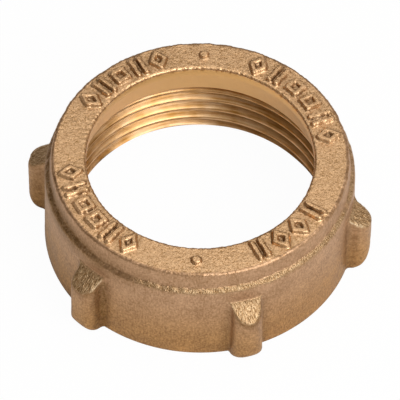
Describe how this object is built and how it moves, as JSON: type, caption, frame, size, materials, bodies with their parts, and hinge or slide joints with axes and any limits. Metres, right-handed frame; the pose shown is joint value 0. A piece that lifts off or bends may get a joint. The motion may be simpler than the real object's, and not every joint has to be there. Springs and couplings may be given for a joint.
{
  "type": "compression nut",
  "caption": "Low round brass nut with raked gripping lugs, a pipe hole in its closed end and a wide threaded mouth below, which draws an olive onto a fitting.",
  "frame": {"origin": "centre of the mouth's flat end, which the nut stands on", "axes": "+Z along the nut's axis from the threaded mouth to the closed end, +X through the middle of one lug"},
  "size_m": [0.0444, 0.0396, 0.0147],
  "materials": {
    "brass": "stamped and shot-blasted outside, bright turned inside"
  },
  "bodies": {
    "root": {"compression_nut": "brass"}
  },
  "joints": []
}
